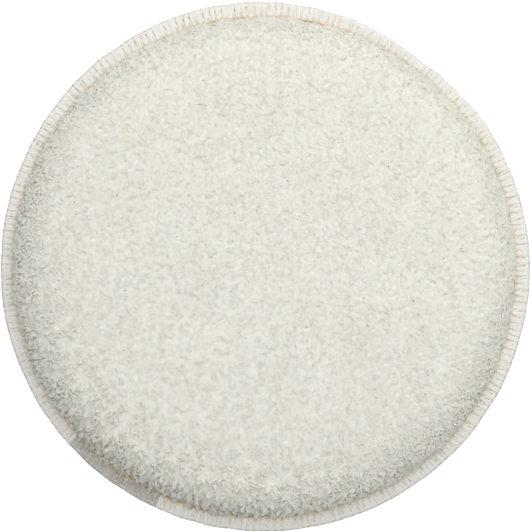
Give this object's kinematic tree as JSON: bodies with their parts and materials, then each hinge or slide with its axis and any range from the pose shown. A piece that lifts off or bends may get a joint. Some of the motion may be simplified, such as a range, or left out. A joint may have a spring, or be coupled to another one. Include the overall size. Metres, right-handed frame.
{
  "type": "polishing pad",
  "caption": "Round off-white polishing pad: a crowned looped-pile face over foam, an overlock-stitched edge and a flat loop-cloth back that a hook-faced plate grips.",
  "frame": {"origin": "centre of the pad, on the flat plane that the loop-cloth back rests on", "axes": "+Z out of the back through the middle of the face; X and Y lie in the plane of the back, and the seam's lap is at 233 degrees from +X towards +Y"},
  "size_m": [0.15, 0.15, 0.019],
  "materials": {
    "pile_yarn": "matte",
    "face_knit": "matte",
    "foam": "matte",
    "adhesive_web": "satin",
    "backing_knit": "matte",
    "loop_nap": "matte",
    "needle_thread": "satin",
    "looper_thread": "satin"
  },
  "bodies": {
    "root": {"foam_core": "foam", "back_web": "adhesive_web", "face_web": "adhesive_web", "backing_cloth": "backing_knit", "loop_nap": "loop_nap", "face_ground_cloth": "face_knit", "face_pile": "pile_yarn", "needle_thread": "needle_thread", "upper_looper_thread": "looper_thread", "lower_looper_thread": "looper_thread"}
  },
  "joints": []
}
